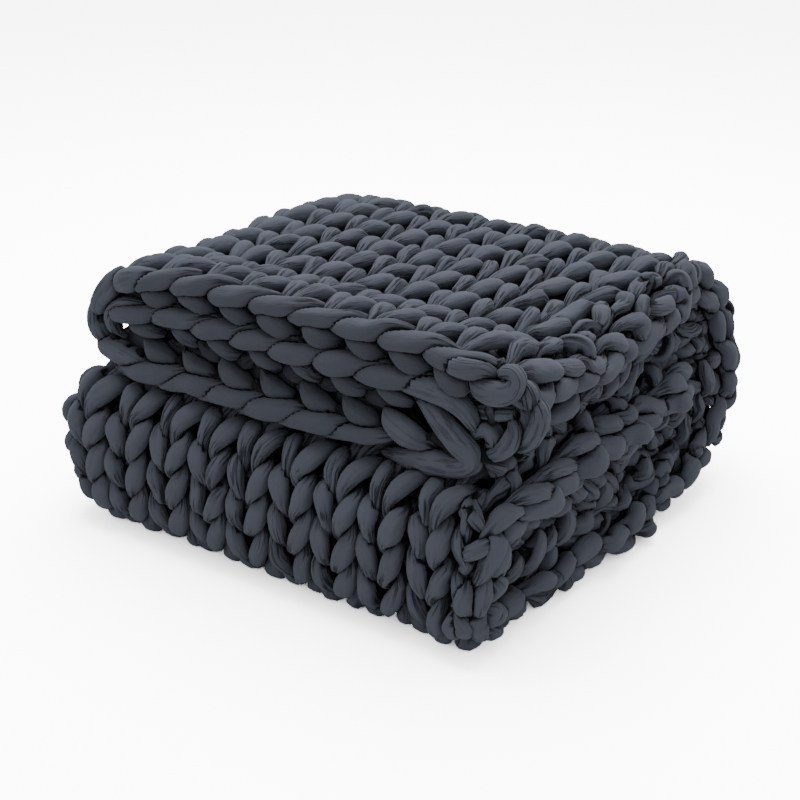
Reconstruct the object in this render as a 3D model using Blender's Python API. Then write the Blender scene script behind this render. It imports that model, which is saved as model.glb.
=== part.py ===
"""Weighted blanket: a chunky hand-knitted blanket of thick slate yarn, folded and laid down.

The blanket is one piece of cloth, so it is one closed solid. It is made flat, folded in three across
its width, folded in three along its length, and then settled under its own weight. Metres, +Z up.
The origin is the middle of the footprint, on the surface that the blanket rests on, and -Y is the
side where the end of the top panel shows.
"""

from collections import namedtuple
from math import cos, pi, radians, sin

import bmesh
import bpy

# Driving sizes of the cloth and of the bundle that it is folded into
CLOTH = 0.0266  # thickness of the knitted cloth
LAYER = 0.0302  # from the middle of one layer to the middle of the next, so layers lie 3.6 mm apart
PANEL = 3 * LAYER  # from the middle of one three-layer panel to the middle of the next
BUNDLE_WIDTH = 0.505
BACK_FOLD_Y = 0.132  # where the top panel starts to turn down at the back
FRONT_FOLD_Y = -0.161  # where the bottom panel starts to turn up at the front
FRONT_END_Y = -0.202  # the free end of the top panel
INNER_END_Y = 0.138  # the free end of the middle panel, inside the back fold
EDGE_ROUNDING = 0.006  # how far the middle of a free edge stands out
HALF = LAYER + CLOTH / 2  # half the thickness of a panel

# The selvedge of the outer layer droops over the right side as a lip
LIP_RADIUS = 0.034
LIP_TURN = 60.0
LIP_OVERHANG = 0.004

# How the folded blanket settles
FLARE_FROM_Y = -0.08  # the top panel's layers part between here and its end
OUTER_RISE = 0.019
INNER_RISE = 0.012
UNDER_DROP = 0.015
WAIST_LOW = 0.13  # between these heights the lower panels pass into the top one,
WAIST_HIGH = 0.20  # which is a little narrower and lies further right
LOWER_SHIFT = -0.0096
TOP_SHIFT = 0.0034
TOP_NARROWING = 0.052
SKEW = 0.043  # drift to the right for each metre further back
SPREAD = 0.025  # gain in width for each metre further back
LEAN = 0.028  # drift backwards from the bottom to the top
SAG = 0.0285  # share of its height that the right side loses
SAG_FROM_X = 0.10
SAG_TO_X = 0.27

# Where the folded stack slumps or bulges: a place, how far around it the push reaches, and the push
Swell = namedtuple("Swell", "name x y z reach push_x push_z")
SWELLS = (
    Swell("slumped left corner of the top", -0.25, -0.19, 0.29, 0.13, -0.003, -0.018),
    Swell("left fold of the top, at its end", -0.26, -0.19, 0.22, 0.09, -0.013, 0.0),
    Swell("left shoulder of the lower panels", -0.28, -0.19, 0.15, 0.09, -0.013, 0.006),
    Swell("left foot, drawn in", -0.28, -0.20, 0.03, 0.11, 0.010, 0.0),
    Swell("right foot at the front, drawn in", 0.26, -0.15, 0.03, 0.14, -0.014, 0.0),
    Swell("right foot at the back", 0.27, 0.09, 0.05, 0.14, 0.007, 0.0),
    Swell("plump right corner of the back fold", 0.25, 0.13, 0.27, 0.14, 0.0, 0.011),
    Swell("low left corner of the back fold", -0.25, 0.20, 0.27, 0.12, 0.0, -0.007),
)

SLATE = (0.052, 0.056, 0.062, 1.0)

LEFT_TURN_X = -BUNDLE_WIDTH / 2 + HALF
RIGHT_TURN_X = BUNDLE_WIDTH / 2 - LAYER / 2 - CLOTH / 2
SPAN = RIGHT_TURN_X - LEFT_TURN_X
BOTTOM_Z = HALF
MIDDLE_Z = BOTTOM_Z + PANEL
TOP_Z = MIDDLE_Z + PANEL

# A path is a row of runs that go straight or turn right. Turns are in degrees, and facets are steps.
Run = namedtuple("Run", "name length radius turn facets")

# Across a panel, seen from the back: from the outer selvedge to the edge that is folded in
ACROSS = (
    Run("drooping selvedge", 0.0, LIP_RADIUS, LIP_TURN, 4),
    Run("outer layer", SPAN + LIP_OVERHANG, 0.0, 0.0, 6),
    Run("left fold", 0.0, LAYER, 180.0, 8),
    Run("under layer", SPAN, 0.0, 0.0, 6),
    Run("right fold", 0.0, LAYER / 2, 180.0, 6),
    Run("inner layer", SPAN + LIP_OVERHANG, 0.0, 0.0, 6),
)

# Along the blanket, seen from the right: from the top panel's free end to the middle panel's
ALONG = (
    Run("top panel", BACK_FOLD_Y - FRONT_END_Y, 0.0, 0.0, 8),
    Run("back fold", 0.0, PANEL, 180.0, 12),
    Run("bottom panel", BACK_FOLD_Y - FRONT_FOLD_Y, 0.0, 0.0, 7),
    Run("front fold", 0.0, PANEL / 2, 180.0, 10),
    Run("middle panel", INNER_END_Y - FRONT_FOLD_Y, 0.0, 0.0, 7),
)


def clear_scene():
    for item in list(bpy.data.objects):
        bpy.data.objects.remove(item, do_unlink=True)


def run_length(run):
    return run.length + run.radius * radians(run.turn)


def stations(runs):
    """The distances along a path at which the cloth has a line of corners."""
    marks = [0.0]
    for run in runs:
        step = run_length(run) / run.facets
        marks += [marks[-1] + step * (i + 1) for i in range(run.facets)]
    return marks


def trace(runs, start, heading, distance, offset):
    """Follows a path for a distance, then steps to its left. Returns the point and the run's name."""
    across, up = start
    for run in runs:
        used = distance if run is runs[-1] else min(distance, run_length(run))
        if run.turn:
            across += sin(heading) * run.radius
            up -= cos(heading) * run.radius
            heading -= used / run.radius
            across -= sin(heading) * run.radius
            up += cos(heading) * run.radius
        else:
            across += cos(heading) * used
            up += sin(heading) * used
        distance -= used
        if distance <= 0.0:
            break
    return across - sin(heading) * offset, up + cos(heading) * offset, run.name


def fold_across(distance, offset):
    """The place in a panel's section: x, and the height above the panel's middle layer."""
    lip = radians(LIP_TURN)
    start_x = RIGHT_TURN_X + LIP_OVERHANG + LIP_RADIUS * sin(lip)
    start_up = LAYER - LIP_RADIUS * (1 - cos(lip))
    leftward, up, _ = trace(ACROSS, (-start_x, start_up), lip, distance, offset)
    return -leftward, up


def fold_along(distance, offset):
    """The place in the folded blanket's section: y, z and the name of the run."""
    return trace(ALONG, (FRONT_END_Y, TOP_Z), 0.0, distance, offset)


def ease(start, end, value):
    """A smooth step from 0 at start to 1 at end."""
    share = min(max((value - start) / (end - start), 0.0), 1.0)
    return share * share * (3 - 2 * share)


def settle(x, y, z, panel, layer_up):
    """Parts the layers at the front end, and lets the stack shift, lean and sag. The floor stays flat."""
    flare = ease(FLARE_FROM_Y, FRONT_END_Y, y)
    if panel == "top panel":
        level = layer_up / LAYER
        spread = (OUTER_RISE + UNDER_DROP) / 2 * level + (OUTER_RISE - UNDER_DROP) / 2 * level * level
        z += flare * (spread + INNER_RISE * (1 - level * level))
    else:
        z -= flare * UNDER_DROP * min(z / (MIDDLE_Z + HALF), 1.0)
    waist = ease(WAIST_LOW, WAIST_HIGH, z)
    shift = LOWER_SHIFT + (TOP_SHIFT - LOWER_SHIFT) * waist
    x = shift + SKEW * y + x * (1 - TOP_NARROWING * waist + SPREAD * y)
    y += LEAN * z / (TOP_Z + HALF)
    z *= 1 - SAG * ease(SAG_FROM_X, SAG_TO_X, x)
    for swell in SWELLS:
        away = ((x - swell.x) ** 2 + (y - swell.y) ** 2 + (z - swell.z) ** 2) / swell.reach**2
        share = max(1 - away, 0.0) ** 2
        x += share * swell.push_x
        z += share * swell.push_z
    return x, y, z


def cloth_point(column_distance, row_distance, offset):
    """Where a point of the flat blanket lies when it is folded. The offset is from mid-thickness."""
    x, up = fold_across(column_distance, offset)
    _, layer_up = fold_across(column_distance, 0.0)
    y, z, panel = fold_along(row_distance, up)
    return settle(x, y, z, panel, layer_up)


def flat_blanket(columns, rows):
    """A flat grid with thickness and one more loop round its rim. Its corners are counted from 0."""
    mesh = bmesh.new()
    bmesh.ops.create_grid(mesh, x_segments=columns, y_segments=rows, size=0.5)
    bmesh.ops.scale(mesh, vec=(columns, rows, 1.0), verts=mesh.verts)
    bmesh.ops.translate(mesh, vec=(columns / 2, rows / 2, CLOTH / 2), verts=mesh.verts)
    sheet = list(mesh.faces)
    made = bmesh.ops.extrude_face_region(mesh, geom=sheet)
    under = [item for item in made["geom"] if isinstance(item, bmesh.types.BMVert)]
    bmesh.ops.translate(mesh, vec=(0.0, 0.0, -CLOTH), verts=under)
    rim = [edge for edge in mesh.edges if abs(edge.verts[0].co.z - edge.verts[1].co.z) > CLOTH / 2]
    bmesh.ops.subdivide_edges(mesh, edges=rim, cuts=1, use_grid_fill=True)
    bmesh.ops.recalc_face_normals(mesh, faces=mesh.faces)
    return mesh


def make_blanket():
    column_marks = stations(ACROSS)
    row_marks = stations(ALONG)
    last_column = len(column_marks) - 1
    last_row = len(row_marks) - 1
    mesh = flat_blanket(last_column, last_row)
    for corner in mesh.verts:
        column = round(corner.co.x)
        row = round(corner.co.y)
        column_distance = column_marks[column]
        row_distance = row_marks[row]
        if abs(corner.co.z) < CLOTH / 4:
            column_distance += EDGE_ROUNDING * ((column == last_column) - (column == 0))
            row_distance += EDGE_ROUNDING * ((row == last_row) - (row == 0))
        corner.co = cloth_point(column_distance, row_distance, corner.co.z)
    # The columns run from right to left, so the folded cloth is a mirror image of the flat one
    bmesh.ops.reverse_faces(mesh, faces=mesh.faces)
    return mesh


def stand_on_origin(mesh):
    """Puts the middle of the footprint at the origin, with the lowest face on the surface."""
    xs, ys, zs = zip(*(corner.co for corner in mesh.verts))
    middle = ((min(xs) + max(xs)) / 2, (min(ys) + max(ys)) / 2, min(zs))
    bmesh.ops.translate(mesh, vec=[-value for value in middle], verts=mesh.verts)


def slate_yarn():
    material = bpy.data.materials.new("slate_yarn")
    material.use_nodes = True
    shader = material.node_tree.nodes["Principled BSDF"]
    shader.inputs["Base Color"].default_value = SLATE
    shader.inputs["Roughness"].default_value = 0.95
    shader.inputs["Metallic"].default_value = 0.0
    return material


def main():
    clear_scene()
    mesh = make_blanket()
    stand_on_origin(mesh)
    data = bpy.data.meshes.new("blanket")
    mesh.to_mesh(data)
    mesh.free()
    data.shade_smooth()
    data.set_sharp_from_angle(angle=pi / 4)
    data.materials.append(slate_yarn())
    blanket = bpy.data.objects.new("blanket", data)
    bpy.context.scene.collection.objects.link(blanket)


main()
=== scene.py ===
"""Looks of the weighted blanket: knitted by hand from one thick stuffed yarn, folded and laid down.

The yarn is worked out as the knitter makes it. Each row is one strand that runs through its stitches.
The chained end, its corners, the row ends and the bends tucked in beside them are short strands. All
are laid along the folds of the cloth, and then every strand is pressed against those that it touches.
Metres, +Z up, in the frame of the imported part.
"""

from collections import namedtuple
from math import cos, pi, radians, sin

import bmesh
import bpy
import numpy as np
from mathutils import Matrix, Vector
from mathutils.kdtree import KDTree


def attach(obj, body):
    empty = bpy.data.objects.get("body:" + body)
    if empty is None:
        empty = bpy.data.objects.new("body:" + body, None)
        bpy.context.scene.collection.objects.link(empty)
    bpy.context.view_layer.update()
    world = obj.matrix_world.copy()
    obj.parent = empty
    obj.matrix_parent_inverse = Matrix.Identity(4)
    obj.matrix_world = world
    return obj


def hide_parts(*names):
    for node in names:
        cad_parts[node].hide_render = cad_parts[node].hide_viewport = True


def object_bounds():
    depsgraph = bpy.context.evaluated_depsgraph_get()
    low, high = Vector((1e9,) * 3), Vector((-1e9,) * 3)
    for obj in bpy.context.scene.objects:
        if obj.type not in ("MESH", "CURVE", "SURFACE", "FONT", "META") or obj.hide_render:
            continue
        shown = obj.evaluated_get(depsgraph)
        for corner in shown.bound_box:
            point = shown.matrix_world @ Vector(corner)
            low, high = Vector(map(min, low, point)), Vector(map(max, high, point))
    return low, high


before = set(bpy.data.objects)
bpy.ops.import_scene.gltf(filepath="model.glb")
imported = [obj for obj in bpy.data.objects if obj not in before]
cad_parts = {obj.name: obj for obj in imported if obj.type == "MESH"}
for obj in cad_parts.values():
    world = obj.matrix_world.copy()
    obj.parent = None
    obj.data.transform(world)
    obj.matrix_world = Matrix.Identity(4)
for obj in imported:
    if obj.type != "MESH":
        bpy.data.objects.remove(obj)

PART_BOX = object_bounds()
MM = 0.001

# ---------------------------------------------------------------- sizes

# The folded cloth, with the part's own sizes
CLOTH = 0.0266  # thickness of the knitted cloth
LAYER = 0.0302  # from the middle of one layer to the middle of the next
PANEL = 3 * LAYER  # from the middle of one three-layer panel to the middle of the next
HALF = LAYER + CLOTH / 2  # half the thickness of a panel
BUNDLE_WIDTH = 0.505
BACK_FOLD_Y = 0.132  # where the top panel starts to turn down at the back
FRONT_FOLD_Y = -0.161  # where the bottom panel starts to turn up at the front
FRONT_END_Y = -0.202  # the free end of the top panel
INNER_END_Y = 0.138  # the free end of the middle panel, inside the back fold

# The selvedge of the outer layer droops over the right side as a lip
LIP_RADIUS = 0.034
LIP_TURN = 60.0
LIP_OVERHANG = 0.004

# How the folded blanket settles
FLARE_FROM_Y = -0.08  # the top panel's layers part between here and its end
OUTER_RISE = 0.019
INNER_RISE = 0.012
UNDER_DROP = 0.015
WAIST_LOW = 0.13  # between these heights the lower panels pass into the top one,
WAIST_HIGH = 0.20  # which is a little narrower and lies further right
LOWER_SHIFT = -0.0096
TOP_SHIFT = 0.0034
TOP_NARROWING = 0.052
SKEW = 0.043  # drift to the right for each metre further back
SPREAD = 0.025  # gain in width for each metre further back
LEAN = 0.028  # drift backwards from the bottom to the top
SAG = 0.0285  # share of its height that the right side loses
SAG_FROM_X = 0.10
SAG_TO_X = 0.27

# Where the folded stack slumps or bulges: a place, how far around it the push reaches, and the push
Swell = namedtuple("Swell", "name x y z reach push_x push_z")
SWELLS = (
    Swell("slumped left corner of the top", -0.25, -0.19, 0.29, 0.13, -0.003, -0.018),
    Swell("left fold of the top, at its end", -0.26, -0.19, 0.22, 0.09, -0.013, 0.0),
    Swell("left shoulder of the lower panels", -0.28, -0.19, 0.15, 0.09, -0.013, 0.006),
    Swell("left foot, drawn in", -0.28, -0.20, 0.03, 0.11, 0.010, 0.0),
    Swell("right foot at the front, drawn in", 0.26, -0.15, 0.03, 0.14, -0.014, 0.0),
    Swell("right foot at the back", 0.27, 0.09, 0.05, 0.14, 0.007, 0.0),
    Swell("plump right corner of the back fold", 0.25, 0.13, 0.27, 0.14, 0.0, 0.011),
    Swell("low left corner of the back fold", -0.25, 0.20, 0.27, 0.12, 0.0, -0.007),
)
# The stitches themselves swell a little more, where the front fold is steeper than the plain cloth's
STITCH_SWELLS = (
    Swell("left end of the front fold", -0.29, -0.19, 0.06, 0.15, -0.019, 0.0),
    Swell("left shoulder of the front fold", -0.28, -0.18, 0.145, 0.06, 0.008, 0.0),
    Swell("left fold of the top", -0.25, -0.16, 0.215, 0.08, -0.008, 0.0),
    Swell("right end of the back fold, above", 0.265, 0.19, 0.23, 0.09, -0.016, 0.0),
    Swell("left foot of the front fold", -0.255, -0.205, 0.02, 0.07, 0.007, 0.004),
    Swell("left corner of the back fold", -0.23, 0.21, 0.26, 0.12, 0.003, -0.006),
    Swell("right end of the back fold, below", 0.266, 0.235, 0.09, 0.09, 0.009, 0.0),
)

LEFT_TURN_X = -BUNDLE_WIDTH / 2 + HALF
RIGHT_TURN_X = BUNDLE_WIDTH / 2 - LAYER / 2 - CLOTH / 2
SPAN = RIGHT_TURN_X - LEFT_TURN_X
BOTTOM_Z = HALF
MIDDLE_Z = BOTTOM_Z + PANEL
TOP_Z = MIDDLE_Z + PANEL

# A path is a row of runs that go straight or turn right, in degrees. Facets are the part's own steps.
Run = namedtuple("Run", "name length radius turn facets")
# Across a panel, seen from the back: from the outer selvedge to the edge that is folded in
ACROSS = (
    Run("drooping selvedge", 0.0, LIP_RADIUS, LIP_TURN, 4),
    Run("outer layer", SPAN + LIP_OVERHANG, 0.0, 0.0, 6),
    Run("left fold", 0.0, LAYER, 180.0, 8),
    Run("under layer", SPAN, 0.0, 0.0, 6),
    Run("right fold", 0.0, LAYER / 2, 180.0, 6),
    Run("inner layer", SPAN + LIP_OVERHANG, 0.0, 0.0, 6),
)
# Along the blanket, seen from the right: from the top panel's free end to the middle panel's
ALONG = (
    Run("top panel", BACK_FOLD_Y - FRONT_END_Y, 0.0, 0.0, 8),
    Run("back fold", 0.0, PANEL, 180.0, 12),
    Run("bottom panel", BACK_FOLD_Y - FRONT_FOLD_Y, 0.0, 0.0, 7),
    Run("front fold", 0.0, PANEL / 2, 180.0, 10),
    Run("middle panel", INNER_END_Y - FRONT_FOLD_Y, 0.0, 0.0, 7),
)

# The stitches take the front fold steeper than the solid's half circle
FRONT_DEPTH = 0.72  # how far it stands out, as a share of its half height
FRONT_SQUARENESS = 3.2  # 2 is a plain ellipse
TURN_STEPS = 360  # even steps in which the turn is worked out

# The knitting
WALES = 30  # stitches across the opened blanket
ROWS = 36
GAUGE = 8 * MM  # the stitches are evenly spread at this height above the middle of the cloth
STITCH = 51 * MM  # width of the pattern stitch below
ROW = 43.5 * MM  # and its height
CAST_ON = 0.45  # rows that the cast-on edge takes up

# One stitch of the face side: x to the right, y the way it was knitted, z outwards, then the yarn's
# half width and half thickness there. Millimetres, and the last point leads to the next stitch's first.
Bend = namedtuple("Bend", "x y z wide thick")
STITCH_BENDS = (
    Bend(-25.5, -4, -13, 8.5, 4.5),
    Bend(-13, -10, -9, 6.0, 4.6),
    Bend(-9, 3, 2.5, 5.0, 5.0),
    Bend(-10.5, 19, 7.5, 7.8, 7.8),
    Bend(-14, 35, 6.5, 9.0, 8.2),
    Bend(-18.5, 51, -4, 5.2, 5.0),
    Bend(-10, 56, -13, 8.5, 4.5),
    Bend(10, 56, -13, 8.5, 4.5),
    Bend(18.5, 51, -4, 5.4, 5.2),
    Bend(17, 37, 6, 9.2, 8.4),
    Bend(12, 20, 8.5, 9.9, 8.8),
    Bend(5, 2, 5, 5.2, 5.2),
    Bend(7, -10, -7, 5.6, 4.6),
)
# Rings from each bend to the next: many where the yarn shows, few behind the cloth
STITCH_STEPS = (1, 2, 3, 3, 3, 2, 1, 1, 2, 3, 3, 3, 2)
LEAF_STEPS = (8,)  # and in a short strand, before its rings are spread evenly
LEAF_RINGS = 22
CHAIN_RINGS = 30  # finer, so that the seams between its leaves run smoothly
CORNER_RINGS = 40

# The cast-on edge is a chain: in each wale a long leaf whose tail lies over the next one, and a small
# leaf under it. Measured from the middle of the wale and from the end of the cloth.
CHAIN_LEAF = (
    Bend(-39, 12, -6, 3.5, 3.5),
    Bend(-30, 4, -2, 8.0, 7.5),
    Bend(-14, 1, 0, 12.0, 10.5),
    Bend(5, 1, 3, 11.5, 10.0),
    Bend(22, 2, 7, 8.5, 8.0),
    Bend(37, 6, 11, 5.5, 5.0),
    Bend(48, 12, 9, 3.0, 3.0),
)
# Under it, on the outer layer: a short wedge that leans the other way
OUTER_WEDGE = (
    Bend(-22, 12, -3, 4.0, 4.0),
    Bend(-12, 4, -8, 10.0, 9.5),
    Bend(0, 2, -14, 11.5, 10.5),
    Bend(10, 6, -19, 9.5, 8.5),
    Bend(17, 14, -22, 3.5, 3.5),
)
# On the inner layer the wedge is smaller and sits further back
INNER_WEDGE = (
    Bend(-14, 13, -4, 3.5, 3.5),
    Bend(-7, 7, -9, 8.5, 8.0),
    Bend(4, 5, -14, 9.5, 9.0),
    Bend(14, 9, -19, 7.5, 7.0),
    Bend(19, 16, -22, 3.5, 3.5),
)
# In the recess over the under layer, wide leaves lie further back
RECESS_LEAF = (
    Bend(-22, 17, -5, 4.0, 4.0),
    Bend(-12, 12, -9, 10.5, 9.5),
    Bend(2, 10, -15, 12.0, 10.5),
    Bend(14, 13, -21, 9.0, 8.5),
    Bend(22, 19, -26, 4.0, 4.0),
)
# The first and last wale in which the chain is plain, on the outer, the under and the inner layer
CHAINS = ((1, 8), (12, 17), (23, 29))
WEDGES = (OUTER_WEDGE, RECESS_LEAF, INNER_WEDGE)

# At the selvedge each row turns back: measured from the end of its last stitch
SELVEDGE_TURN = (
    Bend(-6, -4, -9, 5.0, 5.0),
    Bend(3, -2, -5, 7.5, 7.0),
    Bend(8, 10, -1, 10.0, 9.0),
    Bend(8, 24, 1, 10.5, 9.0),
    Bend(4, 37, -2, 7.5, 7.0),
    Bend(-6, 42, -8, 5.0, 5.0),
)

# The fabric is fully gathered where the yarn's half width is the first of these, and smooth at the last
GATHERED_WIDTHS = (6.5 * MM, 9.5 * MM)

# Round the outside of the left fold the yarn is free to swell
LEFT_FOLD_WALE = 10.5
LEFT_FOLD_REACH = 2.4
LEFT_FOLD_PLUMP = 0.2

# The hand's small differences, as the usual size of a seeded push or of a share of the yarn's size
ROWS_SEED = 11
TUCKS_SEED = 51
STITCH_JITTER = 1.1 * MM
LEAF_JITTER = 0.9 * MM
TUCK_JITTER = 1.0 * MM
LEG_PLUMPNESS = 0.08  # of a stitch's two legs
STITCH_SIZES = 0.05
LEAF_SIZES = 0.07
TUCK_SIZES = 0.08
SLIMMING = 0.965  # a squarer section fills more room, so the rows' yarn is a little slimmer

# Slow waves through the knitting, each along one axis: 0 across, 1 along, 2 outwards. Metres.
WAVES = 7  # that are added up to make each one
Wave = namedtuple("Wave", "axis seed size shortest longest")
CLOTH_WAVES = (
    Wave(0, 21, 1.6 * MM, 0.09, 0.30),
    Wave(1, 22, 1.6 * MM, 0.09, 0.30),
    Wave(2, 23, 1.0 * MM, 0.10, 0.30),
)

# Where the knitting lies less evenly: at the selvedge and in the right fold
LOOSE_WALES = (0.0, 20.9)
LOOSE_REACH = 2.2
LOOSE_JITTER = 2.6 * MM
LOOSE_SIZES = 0.06
LOOSE_WAVES = (
    Wave(0, 41, 4.5 * MM, 0.07, 0.16),
    Wave(1, 42, 4.5 * MM, 0.07, 0.16),
    Wave(2, 43, 4.5 * MM, 0.07, 0.16),
)

# Where the layers turn, the chain is drawn tight, and its leaves are set one by one. Each strand starts
# from a wale on the cast-on end: millimetres to the right, back and up from there, and the half sizes.
# Creased is how much its fabric is gathered in folds along its full part, from 0 to 1.
LEFT_TURN_WALE = 9.34
RIGHT_END_WALE = 1.0
Corner = namedtuple("Corner", "name wale creased bends")
CORNERS = (
    # The left turn, from the outer chain down to the under chain
    Corner("first leaf of the outer chain", LEFT_TURN_WALE, 0.2, (
        (-6, 2, -4, 9, 9), (8, -2, 4, 12.5, 11.5), (23, -2, 10, 11, 10), (38, 1, 15, 6.5, 6),
        (48, 8, 15, 3, 3),
    )),
    Corner("shoulder leaf", LEFT_TURN_WALE, 0.3, (
        (-1, 4, 11, 5, 5), (-11, 0, 0, 9.5, 9.5), (-24, -1, -16, 11.5, 10.5), (-35, 0, -32, 9.5, 9.5),
        (-39, 5, -45, 4, 4),
    )),
    Corner("side leaf", LEFT_TURN_WALE, 0.6, (
        (-48, 8, -32, 5, 5), (-45, 3, -45, 9, 8.5), (-40, 1, -60, 9.5, 9), (-30, 4, -76, 5, 5),
    )),
    Corner("first leaf of the under chain", LEFT_TURN_WALE, 0.2, (
        (-44, 6, -75, 5, 5), (-28, -1, -75, 10.5, 10), (-3, -3, -77, 12.5, 11), (20, -2, -81, 9, 9),
        (34, 4, -89, 4, 4),
    )),
    Corner("upper leaf in the hollow of the turn", LEFT_TURN_WALE, 0.0, (
        (-34, 28, -36, 9, 9), (-4, 24, -26, 12, 12), (22, 24, -22, 12, 12), (40, 28, -24, 5, 5),
    )),
    Corner("lower leaf in the hollow of the turn", LEFT_TURN_WALE, 0.0, (
        (-30, 26, -74, 7, 7), (-7, 24, -72, 12, 12), (17, 24, -74, 12, 12), (39, 28, -78, 5, 5),
    )),
    # The free edge of the inner layer, a hook inside the left turn
    Corner("hook of the inner chain", LEFT_TURN_WALE, 0.4, (
        (22, 5, -21, 4, 4), (6, 0, -22, 7, 7), (-13, -1, -30, 7.5, 7), (-22, 0, -44, 7, 7),
        (-19, 3, -57, 6, 6), (-12, 9, -65, 4, 4),
    )),
    # The right end of the outer chain: one leaf, then a loop that comes back under it
    Corner("last leaf of the outer chain", RIGHT_END_WALE, 0.2, (
        (-37, 7, -4, 4, 4), (-26, -3, -1, 9.5, 9), (-10, -5, 0, 11, 10), (4, -3, 2, 8, 7.5),
        (13, 3, -2, 4, 4),
    )),
    Corner("loop at the outer corner", RIGHT_END_WALE, 0.35, (
        (14, 8, -5, 4, 4), (23, 1, 2, 6.5, 6.5), (31, -1, 4, 7, 7), (36, -2, -2, 7.5, 7.5),
        (31, -3, -12, 9.5, 9), (17, -3, -17, 11.5, 10), (1, -1, -18, 10, 9), (-14, 5, -15, 4, 4),
    )),
    Corner("stub behind the loop", RIGHT_END_WALE, 0.3, (
        (36, 12, -9, 5, 5), (43, 8, -15, 7.5, 7.5), (43, 10, -30, 5, 5),
    )),
    Corner("strand under the loop", RIGHT_END_WALE, 0.0, (
        (-18, 14, -50, 6, 6), (8, 9, -44, 7, 7), (27, 12, -40, 6, 6),
    )),
    Corner("small wrinkled loop", RIGHT_END_WALE, 0.6, (
        (-13, 12, -78, 4, 4), (-5, 7, -63, 7, 7), (6, 5, -57, 8.5, 8), (12, 5, -64, 8, 8),
        (5, 9, -78, 4.5, 4.5),
    )),
    Corner("inner bracket leaf", RIGHT_END_WALE, 0.2, (
        (0, 8, -85, 4, 4), (15, 4, -77, 7.5, 7), (27, 3, -65, 8.5, 8), (31, 5, -53, 7, 7),
        (27, 9, -45, 4, 4),
    )),
    Corner("outer bracket leaf", RIGHT_END_WALE, 0.2, (
        (32, 12, -72, 4, 4), (45, 9, -59, 7.5, 7), (53, 8, -41, 8, 7.5), (52, 10, -29, 7, 7),
        (45, 15, -24, 4, 4),
    )),
    Corner("leaf inside the brackets", RIGHT_END_WALE, 0.2, (
        (24, 22, -26, 4, 4), (34, 19, -36, 8, 8), (36, 19, -50, 9, 8.5), (28, 22, -66, 4, 4),
    )),
    # The right turn, from the inner chain down to the under chain
    Corner("last leaf of the inner chain", RIGHT_END_WALE, 0.2, (
        (-100, 8, -33, 4, 4), (-79, 2, -31, 10, 9), (-53, 0, -31, 11.5, 10), (-32, 0, -34, 11, 9.5),
        (-17, 1, -42, 9.5, 9), (-8, 3, -53, 7.5, 7.5), (-4, 8, -65, 4, 4),
    )),
    Corner("twisted band of the right turn", RIGHT_END_WALE, 0.4, (
        (-66, 8, -48, 5, 5), (-52, 2, -51, 8.5, 7.5), (-36, -1, -61, 11.5, 8.5), (-20, -3, -72, 12.5, 9),
        (-8, -4, -80, 11.5, 9), (-5, -3, -88, 10, 9), (-17, -2, -97, 10.5, 9.5), (-36, 0, -101, 12, 10),
        (-58, 0, -103, 11.5, 10), (-82, 3, -107, 8, 8), (-104, 8, -111, 4, 4),
    )),
    Corner("leaf behind the twisted band", RIGHT_END_WALE, 0.2, (
        (-99, 4, -65, 4, 4), (-87, -5, -69, 10, 9.5), (-71, -6, -77, 12, 11), (-58, 0, -85, 8.5, 8),
        (-50, 9, -92, 4, 4),
    )),
)

# A short bend of yarn, pushed in where the rows end or the cloth turns, about its own middle
TUCK_LEAF = (
    (-18, 0, -6, 3.5, 3.5),
    (-10, 1, 1, 7.5, 7),
    (0, 2, 4, 9.5, 8.5),
    (10, 1, 1, 8, 7.5),
    (18, -1, -6, 3.5, 3.5),
)
# Lines along which they lie, from one wale and row to another. Spread is in wales and rows, out in mm,
# and tilt is the most degrees that a bend turns away from its wale or, if it is lying, from its row.
Tucks = namedtuple("Tucks", "name count first last spread out lying tilt")
TUCKS = (
    Tucks("row ends at the right selvedge", 34, (0.55, 2.0), (0.55, 35.5), (0.3, 0.3), 7, False, 75),
    Tucks("inside the outer layer, round the back", 18, (0.8, 8.5), (0.8, 21.0), (0.4, 0.3), -7, False, 60),
    Tucks("upper side of the right fold", 30, (21.2, 1.5), (21.2, 35.5), (0.35, 0.3), 9, False, 75),
    Tucks("lower side of the right fold", 30, (20.3, 1.5), (20.3, 35.5), (0.35, 0.3), 9, False, 75),
    Tucks("hollow over the under layer", 8, (12.4, 0.7), (17.9, 0.7), (0.2, 0.15), -21, True, 35),
    Tucks("deeper in that hollow", 8, (12.9, 0.5), (18.1, 0.5), (0.2, 0.15), -33, True, 25),
    Tucks("inside the right fold, round the back", 6, (20.8, 11.8), (20.8, 15.0), (0.25, 0.1), -3, False, 40),
)


# ---------------------------------------------------------------- the folds


def ease(start, end, value):
    """A smooth step from 0 at start to 1 at end."""
    share = np.clip((value - start) / (end - start), 0.0, 1.0)
    return share * share * (3 - 2 * share)


def steep_turn():
    """Half a turn as the thick cloth makes it: a steep face between two tight shoulders.

    Returns how far out and how high it is at even steps of its length, for a radius of one.
    """
    angle = np.linspace(-pi / 2, pi / 2, 2 * TURN_STEPS + 1)
    out = FRONT_DEPTH * np.abs(np.cos(angle)) ** (2 / FRONT_SQUARENESS)
    high = np.sign(np.sin(angle)) * np.abs(np.sin(angle)) ** (2 / FRONT_SQUARENESS)
    step = np.hypot(np.diff(out), np.diff(high))
    walked = np.concatenate(((0.0,), np.cumsum(step)))
    even = np.linspace(0.0, walked[-1], TURN_STEPS + 1)
    return np.interp(even, walked, out), np.interp(even, walked, high)


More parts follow.
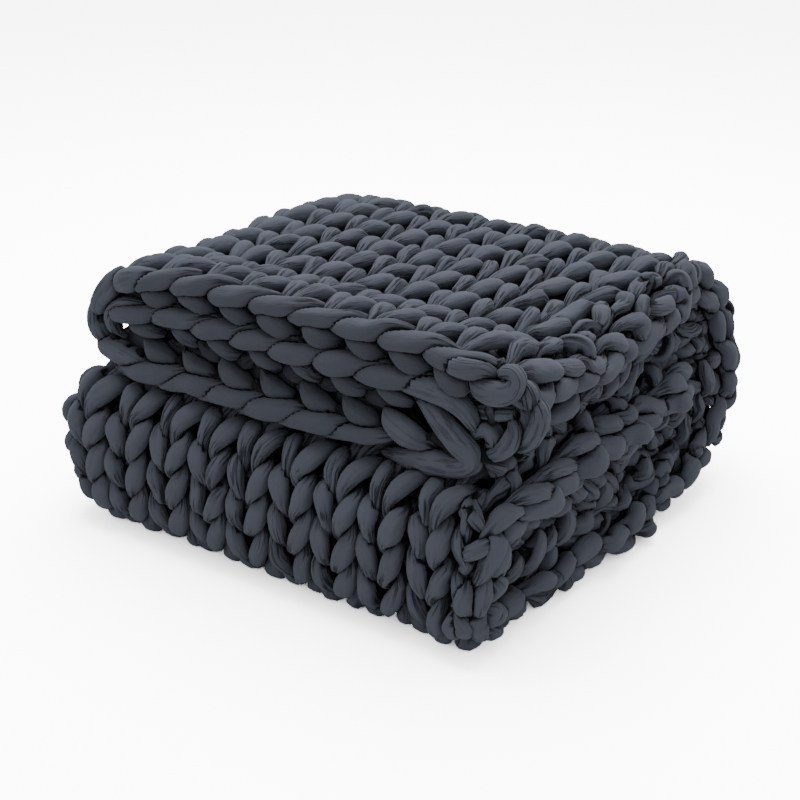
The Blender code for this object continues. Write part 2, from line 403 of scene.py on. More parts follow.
def follow(runs, start, heading, distance, offset, gauge, steep=None):
    """Follows a path for a distance measured at the gauge's height, then steps to its left.

    Steep is the shape that the front fold takes instead of a half circle. Returns the points' two
    places and the number of the run that each is on.
    """
    across, up = start
    walked = np.zeros(np.broadcast(distance, offset, gauge).shape)
    found_across = walked.copy()
    found_up = walked.copy()
    on_run = np.zeros(walked.shape, int)
    for number, run in enumerate(runs):
        used = distance - walked
        here = used >= 0.0 if number else np.ones(walked.shape, bool)
        turn = radians(run.turn)
        if run.turn:
            middle_across = across + sin(heading) * run.radius
            middle_up = up - cos(heading) * run.radius
            angle = heading - used / (run.radius + gauge)
            place_across = middle_across - np.sin(angle) * (run.radius + offset)
            place_up = middle_up + np.cos(angle) * (run.radius + offset)
            if steep and run.name == "front fold":
                share = np.clip((heading - angle) / turn, 0.0, 1.0) * TURN_STEPS
                steps = np.arange(TURN_STEPS + 1)
                place_across = middle_across - np.interp(share, steps, steep[0]) * (run.radius + offset)
                place_up = middle_up + np.interp(share, steps, steep[1]) * (run.radius + offset)
            heading -= turn
            across = middle_across - sin(heading) * run.radius
            up = middle_up + cos(heading) * run.radius
        else:
            place_across = across + cos(heading) * used - sin(heading) * offset
            place_up = up + sin(heading) * used + cos(heading) * offset
            across += cos(heading) * run.length
            up += sin(heading) * run.length
        found_across = np.where(here, place_across, found_across)
        found_up = np.where(here, place_up, found_up)
        on_run = np.where(here, number, on_run)
        walked = walked + run.length + turn * (run.radius + gauge)
    return found_across, found_up, on_run


def path_length(runs, gauge):
    """How long a path is at the gauge's height."""
    return sum(run.length + radians(run.turn) * (run.radius + gauge) for run in runs)


def fold_across(distance, offset, gauge):
    """The place in a panel's section: x, and the height above the panel's middle layer."""
    lip = radians(LIP_TURN)
    start_x = RIGHT_TURN_X + LIP_OVERHANG + LIP_RADIUS * sin(lip)
    start_up = LAYER - LIP_RADIUS * (1 - cos(lip))
    leftward, up, _ = follow(ACROSS, (-start_x, start_up), lip, distance, offset, gauge)
    return -leftward, up


def settle(x, y, z, on_top, layer_up, extra=()):
    """Parts the layers at the front end, and lets the stack shift, lean, sag and swell."""
    flare = ease(FLARE_FROM_Y, FRONT_END_Y, y)
    level = layer_up / LAYER
    spread = (OUTER_RISE + UNDER_DROP) / 2 * level + (OUTER_RISE - UNDER_DROP) / 2 * level**2
    part_up = flare * (spread + INNER_RISE * (1 - level**2))
    squash = flare * UNDER_DROP * np.minimum(z / (MIDDLE_Z + HALF), 1.0)
    z = z + np.where(on_top, part_up, -squash)
    waist = ease(WAIST_LOW, WAIST_HIGH, z)
    shift = LOWER_SHIFT + (TOP_SHIFT - LOWER_SHIFT) * waist
    x = shift + SKEW * y + x * (1 - TOP_NARROWING * waist + SPREAD * y)
    y = y + LEAN * z / (TOP_Z + HALF)
    z = z * (1 - SAG * ease(SAG_FROM_X, SAG_TO_X, x))
    for swell in SWELLS + extra:
        away = ((x - swell.x) ** 2 + (y - swell.y) ** 2 + (z - swell.z) ** 2) / swell.reach**2
        share = np.maximum(1 - away, 0.0) ** 2
        x = x + share * swell.push_x
        z = z + share * swell.push_z
    return np.stack((x, y, z), axis=-1)


def part_offset():
    """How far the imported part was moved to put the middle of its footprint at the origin."""
    corners = []
    for run_marks in (ACROSS, ALONG):
        marks = [0.0]
        for run in run_marks:
            step = (run.length + run.radius * radians(run.turn)) / run.facets
            marks += [marks[-1] + step * (i + 1) for i in range(run.facets)]
        corners.append(np.array(marks))
    column, row, offset = np.meshgrid(*corners, (-CLOTH / 2, CLOTH / 2), indexing="ij")
    x, up = fold_across(column, offset, 0.0)
    _, layer_up = fold_across(column, 0.0 * offset, 0.0)
    y, z, run = follow(ALONG, (FRONT_END_Y, TOP_Z), 0.0, row, up, 0.0)
    places = settle(x, y, z, run == 0, layer_up).reshape(-1, 3)
    return np.array(PART_BOX[0]) - places.min(axis=0)


OFFSET = part_offset()
STEEP_TURN = steep_turn()
ACROSS_LENGTH = path_length(ACROSS, GAUGE)


def on_cloth(wale, row, out):
    """Where a point of the knitting lies: in wales from the right, rows from the cast-on, metres out."""
    distance = wale / WALES * ACROSS_LENGTH
    x, up = fold_across(distance, out, GAUGE)
    _, gauge_up = fold_across(distance, GAUGE + 0.0 * out, GAUGE)
    _, layer_up = fold_across(distance, 0.0 * out, GAUGE)
    along_length = path_length(ALONG, 0.0) + 2 * pi * gauge_up
    y, z, run = follow(
        ALONG, (FRONT_END_Y, TOP_Z), 0.0, row / ROWS * along_length, up, gauge_up, STEEP_TURN
    )
    return settle(x, y, z, run == 0, layer_up, STITCH_SWELLS) + OFFSET


# ---------------------------------------------------------------- the strands


def unit(vectors):
    return vectors / np.maximum(np.linalg.norm(vectors, axis=-1, keepdims=True), 1e-12)


def smooth_through(points, steps):
    """A smooth line through the points, which lie along the last axis but one.

    The steps say how many rings each point starts, and are used over and over.
    """
    before = 2 * points[..., :1, :] - points[..., 1:2, :]
    after = 2 * points[..., -1:, :] - points[..., -2:-1, :]
    padded = np.concatenate((before, points, after), axis=-2)
    spans = points.shape[-2] - 1
    a, b, c, d = (padded[..., i : i + spans, :] for i in range(4))
    rings = [steps[span % len(steps)] for span in range(spans)]
    start = [span for span in range(spans) for _ in range(rings[span])]
    share = [ring / rings[span] for span in range(spans) for ring in range(rings[span])]
    t = np.array(share)[:, None]
    a, b, c, d = (part[..., start, :] for part in (a, b, c, d))
    line = 0.5 * (2 * b + (c - a) * t + (2 * a - 5 * b + 4 * c - d) * t**2 + (3 * b - a - 3 * c + d) * t**3)
    return np.concatenate((line, points[..., -1:, :]), axis=-2)


def gentle_push(place, wave):
    """A smooth seeded push for each place on the flat cloth, in metres."""
    chance = np.random.default_rng(wave.seed)
    push = np.zeros(place.shape[:-1])
    for _ in range(WAVES):
        heading = chance.uniform(0, 2 * pi)
        length = chance.uniform(wave.shortest, wave.longest)
        phase = chance.uniform(0, 2 * pi)
        along = place[..., 0] * cos(heading) + place[..., 1] * sin(heading)
        push += np.sin(along * 2 * pi / length + phase)
    return push * wave.size / np.sqrt(WAVES)


def near_wale(wale, place, reach):
    """1 at the place and near it, falling to 0 at the reach."""
    return np.clip(2 * (1 - np.abs(wale - place) / reach), 0.0, 1.0)


def pulled_about(points, chance):
    """Moves flat points near the selvedge and in the right fold, which handling has left less even."""
    wale = WALES - points[..., 0] / STITCH
    loose = np.max([near_wale(wale, place, LOOSE_REACH) for place in LOOSE_WALES], axis=0)
    for wave in LOOSE_WAVES:
        points[..., wave.axis] += loose * gentle_push(points, wave)
    points[..., :3] += loose[..., None] * LOOSE_JITTER * chance.standard_normal(points[..., :3].shape)
    points[..., 3:] *= 1 + loose[..., None] * LOOSE_SIZES * chance.standard_normal(points[..., 3:].shape)
    return points


class Strands:
    """Lengths of yarn of the same number of rings: middle lines, section axes, half sizes.

    Height is above the middle of the cloth, walked is the length of yarn so far, and gathered is how far
    the fabric is drawn into folds, from 0 to 1.
    """

    def __init__(self, middle, outward, height, wide, thick, first_tag, creased=0.0):
        self.middle = middle
        self.height = height
        self.ahead = unit(np.gradient(middle, axis=1))
        self.side = unit(np.cross(self.ahead, outward))
        self.out = np.cross(self.side, self.ahead)
        self.wide = wide
        self.thick = thick
        self.tag = np.repeat(first_tag + np.arange(len(wide))[:, None], wide.shape[1], axis=1)
        step = np.linalg.norm(np.diff(middle, axis=1), axis=-1)
        self.walked = np.concatenate((np.zeros((len(step), 1)), np.cumsum(step, axis=1)), axis=1)
        self.gathered = np.maximum(1 - ease(*GATHERED_WIDTHS, wide), creased)


def knit_rows():
    """Every row of the cloth as one strand. Returns the strands and how many rings a stitch has."""
    bends = len(STITCH_BENDS)
    pattern = np.array(STITCH_BENDS, float)
    row, wale, bend = np.meshgrid(np.arange(ROWS), np.arange(WALES), np.arange(bends), indexing="ij")
    points = pattern[bend] * MM
    # Rows run from the left edge of the cloth to the right, the last wale first
    points[..., 0] += (wale + 0.5) * STITCH
    points[..., 1] += (row + CAST_ON) * ROW
    chance = np.random.default_rng(ROWS_SEED)
    plump = 1 + LEG_PLUMPNESS * chance.standard_normal((ROWS, WALES, 2))
    leg = (bend >= bends // 2).astype(int)
    points[..., 3] *= plump[row, wale, leg]
    points = points.reshape(ROWS, WALES * bends, 5)
    last = points[:, -bends : 1 - bends] + np.array((STITCH, 0, 0, 0, 0))
    points = np.concatenate((points, last), axis=1)
    points[..., :3] += STITCH_JITTER * chance.standard_normal(points[..., :3].shape)
    points[..., 3:] *= SLIMMING + STITCH_SIZES * chance.standard_normal(points[..., 3:].shape)
    turn = near_wale(WALES - points[..., :1] / STITCH, LEFT_FOLD_WALE, LEFT_FOLD_REACH)
    points[..., 3:] *= 1 + LEFT_FOLD_PLUMP * turn
    for wave in CLOTH_WAVES:
        points[..., wave.axis] += gentle_push(points, wave)
    return smooth_through(pulled_about(points, chance), STITCH_STEPS), sum(STITCH_STEPS)


def strands_on_cloth(line, first_tag):
    """Lays lines of flat points (x from the left, y along, out, half width, half thickness) on the cloth."""
    wale = WALES - line[..., 0] / STITCH
    row = line[..., 1] / ROW
    out = line[..., 2]
    middle = on_cloth(wale, row, out)
    outward = unit(on_cloth(wale, row, out + MM) - middle)
    return Strands(middle, outward, out, line[..., 3], line[..., 4], first_tag)


def short_strand(points, rings):
    """A smooth line through a short strand's points, with its rings spread evenly."""
    line = smooth_through(points, LEAF_STEPS)
    before = np.linspace(0.0, 1.0, line.shape[0])
    after = np.linspace(0.0, 1.0, rings)
    return np.stack([np.interp(after, before, line[:, k]) for k in range(line.shape[1])], axis=-1)


def repeated(patterns, places, seed, rings=LEAF_RINGS):
    """One short strand for each place on the flat cloth, with the hand's small differences."""
    chance = np.random.default_rng(seed)
    lines = []
    for bends, place in zip(patterns, places):
        points = np.array(bends, float) * MM
        points[:, :2] += place
        points[:, :3] += LEAF_JITTER * chance.standard_normal((len(points), 3))
        points[:, 3:] *= 1 + LEAF_SIZES * chance.standard_normal()
        lines.append(short_strand(pulled_about(points, chance), rings))
    return np.stack(lines)


def tucked_leaves():
    """The short bends of yarn between the rows, each turned its own way."""
    chance = np.random.default_rng(TUCKS_SEED)
    lines = []
    for tucks in TUCKS:
        for index in range(tucks.count):
            turn = radians(tucks.tilt) * chance.uniform(-1, 1) + pi / 2 * tucks.lying
            points = np.array(TUCK_LEAF, float) * MM
            points[:, :3] += TUCK_JITTER * chance.standard_normal((len(points), 3))
            points *= 1 + TUCK_SIZES * chance.standard_normal()
            ahead = points[:, 0].copy()
            points[:, 0] = ahead * sin(turn) - points[:, 1] * cos(turn)
            points[:, 1] = ahead * cos(turn) + points[:, 1] * sin(turn)
            share = (index + 0.5) / tucks.count
            place = (1 - share) * np.array(tucks.first) + share * np.array(tucks.last)
            wale, row = place + np.array(tucks.spread) * chance.uniform(-1, 1, 2)
            points[:, 0] += (WALES - wale) * STITCH
            points[:, 1] += row * ROW
            points[:, 2] += tucks.out * MM
            lines.append(short_strand(points, LEAF_RINGS))
    return np.stack(lines)


def corner_strands(first_tag):
    """The strands that are set one by one, in the frame of the part."""
    lines = []
    for corner in CORNERS:
        start = on_cloth(np.array(corner.wale), np.array(0.0), np.array(0.0))
        points = np.array(corner.bends, float) * MM
        points[:, :3] += start
        lines.append(short_strand(points, CORNER_RINGS))
    line = np.stack(lines)
    middle = line[..., :3]
    towards_front = np.broadcast_to((0.0, -1.0, 0.0), middle.shape)
    height = np.zeros(middle.shape[:2])
    creased = np.array([corner.creased for corner in CORNERS])[:, None]
    return Strands(middle, towards_front, height, line[..., 3], line[..., 4], first_tag, creased)


# ---------------------------------------------------------------- pressing the strands together

REACH = 32 * MM  # strands further apart than this don't touch
OWN = 27 * MM  # a strand doesn't press on itself within this length of yarn
NEAREST = 56  # the most rings that press on one ring
BALL_LENGTH = 0.9  # each ring presses as a ball of yarn, this long as a share of its thickness
SQUARENESS = 0.84  # 1 is a plain ellipse
SLIT = 0.9  # a pressed strand stops just short of the other
LEAST_KEPT = 0.12  # of a side's full size, however hard it is pressed
AT_ONCE = 1500  # rings worked out together, which keeps the memory small
FAR = 9.0  # stands for a side that meets nothing

# The stuffing is never even, so a section is an ellipse with soft lobes. Start is how far a lobe is
# turned from one strand to the next, and drift how far it turns along the yarn, as a share of LOBE_DRIFT.
Lobe = namedtuple("Lobe", "count size start drift")
LOBES = (Lobe(2, 0.6, 2.1, 1.0), Lobe(3, 0.9, 4.7, -1.4), Lobe(5, 0.5, 1.3, 0.8))
GATHERED_LOBE = Lobe(7, 0.7, 3.1, 0.5)  # finer folds, where the fabric is gathered
LOBE_DRIFT = 45  # radians for each metre of yarn
LOBE_STRENGTH = 0.028
GATHERED_STRENGTH = 0.04


def section(angle):
    """The shares of the half width and half thickness at an angle of the section."""
    sideways = np.sign(np.cos(angle)) * np.abs(np.cos(angle)) ** SQUARENESS
    outwards = np.sign(np.sin(angle)) * np.abs(np.sin(angle)) ** SQUARENESS
    return sideways, outwards


def soft_lobes(gathered, tag, walked, angle):
    """How much each side of each ring stands out over the plain section, as a share near 1."""
    strength = LOBE_STRENGTH + GATHERED_STRENGTH * gathered
    drift = walked * LOBE_DRIFT

    def waving(lobe):
        return np.cos(lobe.count * angle + (tag * lobe.start + lobe.drift * drift)[:, None])

    plain = sum(lobe.size * waving(lobe) for lobe in LOBES)
    folds = gathered[:, None] * GATHERED_LOBE.size * waving(GATHERED_LOBE)
    return 1 + strength[:, None] * (plain + folds)


def nearest_rings(middle, tag, walked):
    """For each ring the numbers of the rings near it, or -1 where there are no more."""
    tree = KDTree(len(middle))
    for index, place in enumerate(middle):
        tree.insert(place, index)
    tree.balance()
    near = np.full((len(middle), NEAREST), -1)
    for index, place in enumerate(middle):
        found = [
            other
            for _, other, _ in tree.find_range(place, REACH)
            if tag[other] != tag[index] or abs(walked[other] - walked[index]) > OWN
        ][:NEAREST]
        near[index, : len(found)] = found
    return near


def press(strands, all_sides):
    """How much of its full size each side of each ring keeps, so that strands meet in flat faces.

    All sides says how many sides the rings of each group of strands have.
    """
    middle = np.concatenate([s.middle.reshape(-1, 3) for s in strands])
    axes = np.concatenate([np.stack((s.side, s.out, s.ahead), axis=-2).reshape(-1, 3, 3) for s in strands])
    half_sizes = [np.stack((s.wide, s.thick, BALL_LENGTH * s.thick), axis=-1) for s in strands]
    size = np.concatenate([group.reshape(-1, 3) for group in half_sizes])
    tag = np.concatenate([s.tag.ravel() for s in strands])
    walked = np.concatenate([s.walked.ravel() for s in strands])
    near = nearest_rings(middle, tag, walked)
    scaled = axes / size[..., None]
    found = []
    begin = 0
    for s, sides in zip(strands, all_sides):
        angle = 2 * pi * np.arange(sides) / sides
        sideways, outwards = section(angle)
        end = begin + s.wide.size
        kept = []
        for start in range(begin, end, AT_ONCE):
            piece = slice(start, min(start + AT_ONCE, end))
            own = slice(piece.start - begin, piece.stop - begin)
            lobes = soft_lobes(s.gathered.ravel()[own], tag[piece], walked[piece], angle)
            spoke = (
                sideways[None, :, None] * (axes[piece, 0] * size[piece, :1])[:, None, :]
                + outwards[None, :, None] * (axes[piece, 1] * size[piece, 1:2])[:, None, :]
            ) * lobes[..., None]
            others = near[piece]
            # Seen in each other ring's own sizes that ring is a ball, and the spoke meets the flat face
            # between the two where both are squeezed alike
            to_other = scaled[others]
            gap = np.einsum("nkij,nkj->nki", to_other, middle[piece, None, :] - middle[others])
            reach = np.einsum("nkij,nsj->nski", to_other, spoke)
            square = (reach**2).sum(-1) - 1
            cross = (reach * gap[:, None]).sum(-1)
            rest = (gap**2).sum(-1)[:, None]
            inside = cross**2 - square * rest
            root = np.sqrt(np.maximum(inside, 0.0))
            with np.errstate(divide="ignore", invalid="ignore"):
                meets = rest / (root - cross)
            meets = np.where((inside > 0) & (root - cross > 1e-9) & (others[:, None] >= 0), meets, FAR)
            kept.append(np.clip(meets.min(axis=-1) * SLIT, LEAST_KEPT, 1.0) * lobes)
        found.append(np.concatenate(kept).reshape(*s.middle.shape[:2], sides))
        begin = end
    return found


# ---------------------------------------------------------------- meshes

TUBE_SPACING = 3.0  # between the blank tubes, whose radius is 1
FLOOR_GAP = 0.4 * MM
SHADE_FROM = 6 * MM  # the yarn starts to lie in shade at this height above the middle of the cloth,
SHADE_FULL = -4 * MM  # and is in the dark at this one
SECTION_HEIGHT = 6.5 * MM  # how far a section's top is taken to stand above its middle
PATTERN_RADIUS = 11 * MM  # of the round yarn on which the patterns are laid
PATTERN_SHIFT = 0.37  # metres from one strand to the next, so that no two show the same pattern


def blank_tubes(name, count, rings, sides):
    """Closed tubes that wait for their shape: one is extruded from a circle, the rest are an array.

    Returns them with each corner's ring, side and tube.
    """
    tube = bmesh.new()
    bmesh.ops.create_circle(tube, cap_ends=True, segments=sides, radius=1.0)
    edges = list(tube.edges)
    for _ in range(rings - 1):
        grown = bmesh.ops.extrude_edge_only(tube, edges=edges)["geom"]
        corners = [item for item in grown if isinstance(item, bmesh.types.BMVert)]
        bmesh.ops.translate(tube, vec=(0.0, 0.0, 1.0), verts=corners)
        edges = [
            item
            for item in grown
            if isinstance(item, bmesh.types.BMEdge) and all(v in corners for v in item.verts)
        ]
    bmesh.ops.edgeloop_fill(tube, edges=edges)
    bmesh.ops.triangulate(tube, faces=[f for f in tube.faces if len(f.verts) > 4])
    bmesh.ops.recalc_face_normals(tube, faces=tube.faces)
    data = bpy.data.meshes.new(name)
    tube.to_mesh(data)
    tube.free()
    yarn = bpy.data.objects.new(name, data)
    bpy.context.scene.collection.objects.link(yarn)
    place = np.zeros(rings * sides * 3)
    data.vertices.foreach_get("co", place)
    place = place.reshape(-1, 3)
    ring_of = np.rint(place[:, 2]).astype(int)
    side_of = np.rint(np.arctan2(place[:, 1], place[:, 0]) / (2 * pi) * sides).astype(int) % sides
    if count > 1:
        rows = yarn.modifiers.new("strands", "ARRAY")
        rows.count = count
        rows.use_relative_offset = False
        rows.use_constant_offset = True
        rows.constant_offset_displace = (TUBE_SPACING, 0.0, 0.0)
        bpy.context.view_layer.objects.active = yarn
        yarn.select_set(True)
        bpy.ops.object.modifier_apply(modifier=rows.name)
        yarn.select_set(False)
    tube_of = np.repeat(np.arange(count), rings * sides)
    return yarn, np.tile(ring_of, count), np.tile(side_of, count), tube_of


def set_attribute(mesh, name, kind, field, values):
    """Stores a value for each corner of a mesh."""
    attribute = mesh.attributes.new(name, kind, "POINT")
    attribute.data.foreach_set(field, values.astype(np.float32).ravel())


def yarn_piece(name, s, kept, rows, rings, sides, shade=1.0, least=0.0):
    """A mesh of some strands' rings, with the yarn's own coordinates as attributes.

    Shade is how dark the yarn lies that is behind the face of the cloth, and least is how far all of the
    piece lies in shade.
    """
    picked = np.arange(s.middle.shape[0])[rows]
    along = np.arange(s.middle.shape[1])[rings]
    yarn, ring, side, strand = blank_tubes(name, len(picked), len(along), sides)
    at = (picked[strand], along[ring])
    share = kept[at][np.arange(len(ring)), side * (kept.shape[-1] // sides)]
    angle = 2 * pi * side / sides
    sideways, outwards = section(angle)
    place = (
        s.middle[at]
        + (share * sideways * s.wide[at])[:, None] * s.side[at]
        + (share * outwards * s.thick[at])[:, None] * s.out[at]
    )
    place[:, 2] = np.maximum(place[:, 2], FLOOR_GAP)
    yarn.data.vertices.foreach_set("co", place.ravel())
    along_yarn = s.walked[at] + PATTERN_SHIFT * s.tag[at]
    round_yarn = np.stack((np.cos(angle), np.sin(angle)), axis=-1) * PATTERN_RADIUS
    # Painted shade: the colour darkens where the yarn lies behind the face of the cloth, and over a whole
    # piece by least
    behind = ease(SHADE_FROM, SHADE_FULL, s.height[at] + np.sin(angle) * SECTION_HEIGHT) * shade
    yarn_place = np.column_stack((round_yarn, along_yarn))
    set_attribute(yarn.data, "yarn_place", "FLOAT_VECTOR", "vector", yarn_place)
    set_attribute(yarn.data, "pressed", "FLOAT", "value", 1 - share)
    set_attribute(yarn.data, "pinched", "FLOAT", "value", s.gathered[at])
    set_attribute(yarn.data, "painted_shade", "FLOAT", "value", np.maximum(behind, least))
    yarn.data.update()
    yarn.data.shade_smooth()
    return yarn


# ---------------------------------------------------------------- materials


def linear(hex_colour):
    """An sRGB hex colour as linear red, green, blue and alpha."""
    values = [int(hex_colour[i : i + 2], 16) / 255 for i in (1, 3, 5)]
    return [v / 12.92 if v <= 0.04045 else ((v + 0.055) / 1.055) ** 2.4 for v in values] + [1.0]


def add(material, kind, settings=None, **inputs):
    """Adds a node with its settings. Inputs are values, or sockets of other nodes.

    An input is named with underscores for spaces, or by the letter i and its number.
    """
    node = material.node_tree.nodes.new("ShaderNode" + kind)
    for key, value in (settings or {}).items():
        setattr(node, key, value)
    for key, value in inputs.items():
        numbered = key[0] == "i" and key[1:].isdigit()
        socket = node.inputs[int(key[1:]) if numbered else key.replace("_", " ")]
        if isinstance(value, bpy.types.NodeSocket):
            material.node_tree.links.new(value, socket)
        else:
            socket.default_value = value
    return node


def stuffed_jersey():
    """Cotton jersey knitted as a tube and stuffed with fibre, dyed slate: matt, soft, a little fuzzy.

    It creases lengthwise where the yarn is drawn thin, and the creases fan out over the full part.
    Patterns read the yarn's own place in metres, so a scale is one over the size of its marks.
    """
    material = bpy.data.materials.new("slate_jersey_yarn")
    material.use_nodes = True
    shader = material.node_tree.nodes["Principled BSDF"]
    place = add(material, "Attribute", {"attribute_name": "yarn_place"}).outputs["Vector"]
    pinched = add(material, "Attribute", {"attribute_name": "pinched"}).outputs["Fac"]
    painted_shade = add(material, "Attribute", {"attribute_name": "painted_shade"}).outputs["Fac"]
    pressed = add(material, "Attribute", {"attribute_name": "pressed"}).outputs["Fac"]
    colours = {"data_type": "RGBA"}
    times = {"operation": "MULTIPLY"}

    # Creases, about 3.4 mm apart round the yarn and 25 mm long
    crease_place = add(material, "VectorMath", times, i0=place, i1=(290.0, 290.0, 40.0)).outputs[0]
    creases = add(material, "TexNoise", Vector=crease_place, Scale=1.0, Detail=1.5, Roughness=0.5)
    fold = add(
        material,
        "MapRange",
        {"interpolation_type": "SMOOTHSTEP"},
        Value=creases.outputs["Fac"],
        From_Min=0.36,
        From_Max=0.47,
    )
    valley = add(material, "Math", {"operation": "SUBTRACT"}, i0=1.0, i1=fold.outputs[0])
    where = add(material, "MapRange", Value=pinched, From_Min=0.0, From_Max=1.0, To_Min=0.06, To_Max=1.0)
    crease = add(material, "Math", times, i0=valley.outputs[0], i1=where.outputs[0]).outputs[0]
    # Soft dents where the stuffing has shifted, about 11 mm wide and 17 mm long
    dent_place = add(material, "VectorMath", times, i0=place, i1=(95.0, 95.0, 60.0)).outputs[0]
    dent = add(material, "TexNoise", Vector=dent_place, Scale=1.0, Detail=1.0).outputs["Fac"]
    # The jersey's own ribs are finer than a millimetre, and are drawn 1.6 mm apart so that they show
    rib_place = add(material, "VectorMath", times, i0=place, i1=(620.0, 620.0, 160.0)).outputs[0]
    rib = add(material, "TexNoise", Vector=rib_place, Scale=1.0, Detail=1.0).outputs["Fac"]
    bump = add(material, "Bump", {"invert": True}, Strength=1.0, Distance=1.6 * MM, Height=crease)
    for height, distance in ((dent, 1.6 * MM), (rib, 0.25 * MM)):
        bump = add(material, "Bump", Strength=1.0, Distance=distance, Height=height, Normal=bump.outputs[0])

    # The dye takes a little unevenly, in patches about 36 mm across, and creases hold shade
    mottle_place = add(material, "TexCoord").outputs["Object"]
    mottle = add(material, "TexNoise", Vector=mottle_place, Scale=28.0, Detail=3.0).outputs["Fac"]
    dyed = add(material, "Mix", colours, Factor=mottle, i6=linear("#484b56"), i7=linear("#545964"))
    creased = add(material, "Mix", colours, Factor=crease, i6=dyed.outputs[2], i7=linear("#252932"))
    # Where two strands press together the seam between them lies in shade, and so does the yarn behind
    seam = add(material, "MapRange", Value=pressed, From_Min=0.045, From_Max=0.16, To_Min=0.0, To_Max=0.95)
    dark = add(material, "Math", {"operation": "MAXIMUM"}, i0=painted_shade, i1=seam.outputs[0]).outputs[0]
    shaded = add(material, "Mix", colours, Factor=dark, i6=creased.outputs[2], i7=linear("#06080d"))
    links = material.node_tree.links
    links.new(shaded.outputs[2], shader.inputs["Base Color"])
    links.new(bump.outputs[0], shader.inputs["Normal"])
    shader.inputs["Roughness"].default_value = 0.92
    shader.inputs["Sheen Weight"].default_value = 0.12
    shader.inputs["Sheen Tint"].default_value = linear("#a3a4ab")
    shader.inputs["Sheen Roughness"].default_value = 0.5
    shader.inputs["Specular IOR Level"].default_value = 0.3
    return material


def pale_floor(name, brightness):
    """Matt white paper. Brightness above one stands for the extra light on a high-key studio's sweep."""
    material = bpy.data.materials.new(name)
    material.use_nodes = True
    nodes = material.node_tree.nodes
    nodes.remove(nodes["Principled BSDF"])
    paper = add(material, "BsdfDiffuse", Color=[brightness] * 3 + [1.0])
    material.node_tree.links.new(paper.outputs[0], nodes["Material Output"].inputs["Surface"])
    return material


# ---------------------------------------------------------------- the pieces

# Sides of a strand's section: in the chain, in most of the yarn, and in small or hidden yarn
SMOOTH = 32
FINE = 20
COARSE = 10

# The knitting is cut into pieces at these wales, counted from the right selvedge
OUTER_WALES = 12  # just past the left fold
UNDER_WALES = 19  # just before the right fold
TURN_WALES = 23  # just past it

# How dark the yarn lies that is behind the face of the cloth, and how far a whole piece lies in shade
TUCKED_SHADE = 0.7
CHAIN_LEAST = 0.21
WEDGES_LEAST = 0.34


def make_blanket():
    """The pieces of the blanket. Tags tell the strands apart, and each kind starts at its own hundred."""
    line, per_stitch = knit_rows()
    rows = strands_on_cloth(line, 0)
    chain_wales = [wale for first, last in CHAINS for wale in range(first, last + 1)]
    chain_places = [((WALES - wale - 0.5) * STITCH, 0.0) for wale in chain_wales]
    leaf_patterns = [CHAIN_LEAF] * len(chain_wales)
    leaves = strands_on_cloth(repeated(leaf_patterns, chain_places, seed=31, rings=CHAIN_RINGS), 100)
    wedge_patterns = [wedge for (first, last), wedge in zip(CHAINS, WEDGES) for _ in range(first, last + 1)]
    wedges = strands_on_cloth(repeated(wedge_patterns, chain_places, seed=32), 200)
    turn_places = [(WALES * STITCH, (row + CAST_ON) * ROW) for row in range(ROWS)]
    turns = strands_on_cloth(repeated([SELVEDGE_TURN] * ROWS, turn_places, seed=33), 300)
    corners = corner_strands(400)
    tucks = strands_on_cloth(tucked_leaves(), 500)
    kept, kept_leaves, kept_wedges, kept_turns, kept_corners, kept_tucks = press(
        [rows, leaves, wedges, turns, corners, tucks], (FINE, SMOOTH, FINE, FINE, FINE, FINE)
    )
    # The rows start at the cloth's left edge, so the outer layer is their last stitches. Where a layer
    # hardly shows, every other ring is left out.
    last = WALES * per_stitch
    outer_start, under_start, turn_start = (
        last - wales * per_stitch for wales in (OUTER_WALES, UNDER_WALES, TURN_WALES)
    )
    outer = slice(outer_start, last + 1)
    under = slice(under_start, outer_start + 1, 2)
    turn = slice(turn_start, under_start + 1)
    inner = slice(0, turn_start + 1, 2)
    whole = slice(None)
    third = ROWS // 3
    return [
        yarn_piece("knit_top", rows, kept, slice(0, third), outer, FINE),
        yarn_piece("knit_back", rows, kept, slice(third, 2 * third), outer, FINE),
        yarn_piece("knit_front", rows, kept, slice(2 * third, ROWS), outer, FINE),
        yarn_piece("knit_right_fold", rows, kept, whole, turn, FINE),
        yarn_piece("knit_under_layer", rows, kept, whole, under, COARSE),
        yarn_piece("knit_inner_layer", rows, kept, whole, inner, COARSE),
        yarn_piece("cast_on_chain", leaves, kept_leaves, whole, whole, SMOOTH, 0.0, CHAIN_LEAST),
        yarn_piece("cast_on_wedges", wedges, kept_wedges, whole, whole, FINE, 0.0, WEDGES_LEAST),
        yarn_piece("cast_on_corners", corners, kept_corners, whole, whole, FINE, 0.0),
        yarn_piece("selvedge_turns", turns, kept_turns, whole, whole, FINE, 0.0),
        yarn_piece("tucked_leaves", tucks, kept_tucks, whole, whole, COARSE, TUCKED_SHADE),
    ]


def dress(pieces):
    """One yarn dresses every piece, and together they replace the solid."""
    jersey = stuffed_jersey()
    for piece in pieces:
        piece.data.materials.append(jersey)
        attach(piece, "root")
        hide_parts("blanket")


# ---------------------------------------------------------------- the studio

MIDDLE = Vector((0.0, 0.0, 0.1))  # a point inside the blanket, for the camera and the light

CAMERA_TURN = 33.85  # degrees to the right of the front
CAMERA_RISE = 25.76
CAMERA_AWAY = 1.509
LENS = 64.65
SENSOR = 36.0
SHIFT_X = 0.005
SHIFT_Y = 0.0208

# The floor that shows is brighter than paper can be, so it lights nothing: one just under it does
SHOWN_BRIGHTNESS = 9.0
BOUNCE_BRIGHTNESS = 0.8
BOUNCE_HEIGHT = -0.5 * MM
FLOOR_HALF = 40.0

SOFTBOX_PLACE = (-0.2, 0.38, 1.9)
SOFTBOX_SIZE = 1.9
SOFTBOX_POWER = 36.0
ROOM_LIGHT = 0.72


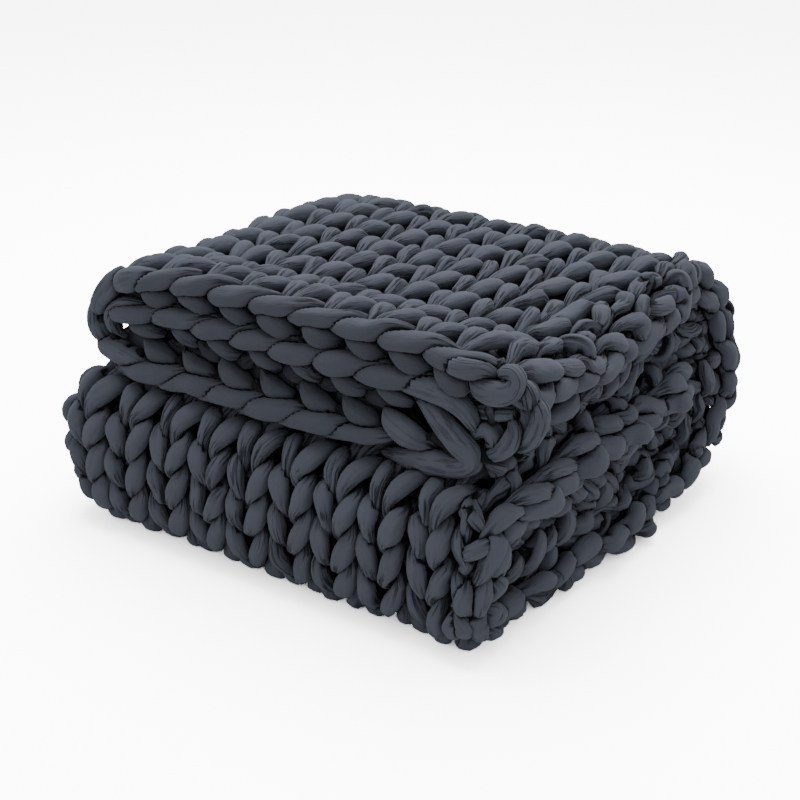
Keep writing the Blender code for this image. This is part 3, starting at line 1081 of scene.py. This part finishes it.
def put_camera():
    turn = radians(CAMERA_TURN)
    rise = radians(CAMERA_RISE)
    back = Vector((sin(turn) * cos(rise), -cos(turn) * cos(rise), sin(rise)))
    data = bpy.data.cameras.new("camera")
    data.lens = LENS
    data.sensor_width = SENSOR
    data.shift_x = SHIFT_X
    data.shift_y = SHIFT_Y
    camera = bpy.data.objects.new("camera", data)
    camera.location = Vector(OFFSET) + MIDDLE + back * CAMERA_AWAY
    camera.rotation_euler = back.to_track_quat("Z", "Y").to_euler()
    bpy.context.scene.collection.objects.link(camera)
    bpy.context.scene.camera = camera


def put_softbox():
    data = bpy.data.lights.new("overhead_softbox", "AREA")
    data.shape = "DISK"
    data.size = SOFTBOX_SIZE
    data.energy = SOFTBOX_POWER
    light = bpy.data.objects.new("overhead_softbox", data)
    light.location = SOFTBOX_PLACE
    light.rotation_euler = (Vector(SOFTBOX_PLACE) - MIDDLE).to_track_quat("Z", "Y").to_euler()
    bpy.context.scene.collection.objects.link(light)


def put_floor(name, height, brightness):
    mesh = bmesh.new()
    bmesh.ops.create_grid(mesh, x_segments=1, y_segments=1, size=FLOOR_HALF)
    bmesh.ops.translate(mesh, vec=(0.0, 0.0, height), verts=mesh.verts)
    data = bpy.data.meshes.new(name)
    mesh.to_mesh(data)
    mesh.free()
    data.materials.append(pale_floor(name, brightness))
    floor = bpy.data.objects.new(name, data)
    bpy.context.scene.collection.objects.link(floor)
    return floor


def put_studio():
    shown = put_floor("floor", 0.0, SHOWN_BRIGHTNESS)
    shown.visible_diffuse = False
    shown.visible_glossy = False
    shown.visible_shadow = False
    lit = put_floor("floor_bounce", BOUNCE_HEIGHT, BOUNCE_BRIGHTNESS)
    lit.visible_camera = False
    put_softbox()
    world = bpy.data.worlds.new("studio")
    world.use_nodes = True
    background = world.node_tree.nodes["Background"]
    background.inputs["Color"].default_value = (1.0, 1.0, 1.0, 1.0)
    background.inputs["Strength"].default_value = ROOM_LIGHT
    bpy.context.scene.world = world


dress(make_blanket())
put_studio()
put_camera()
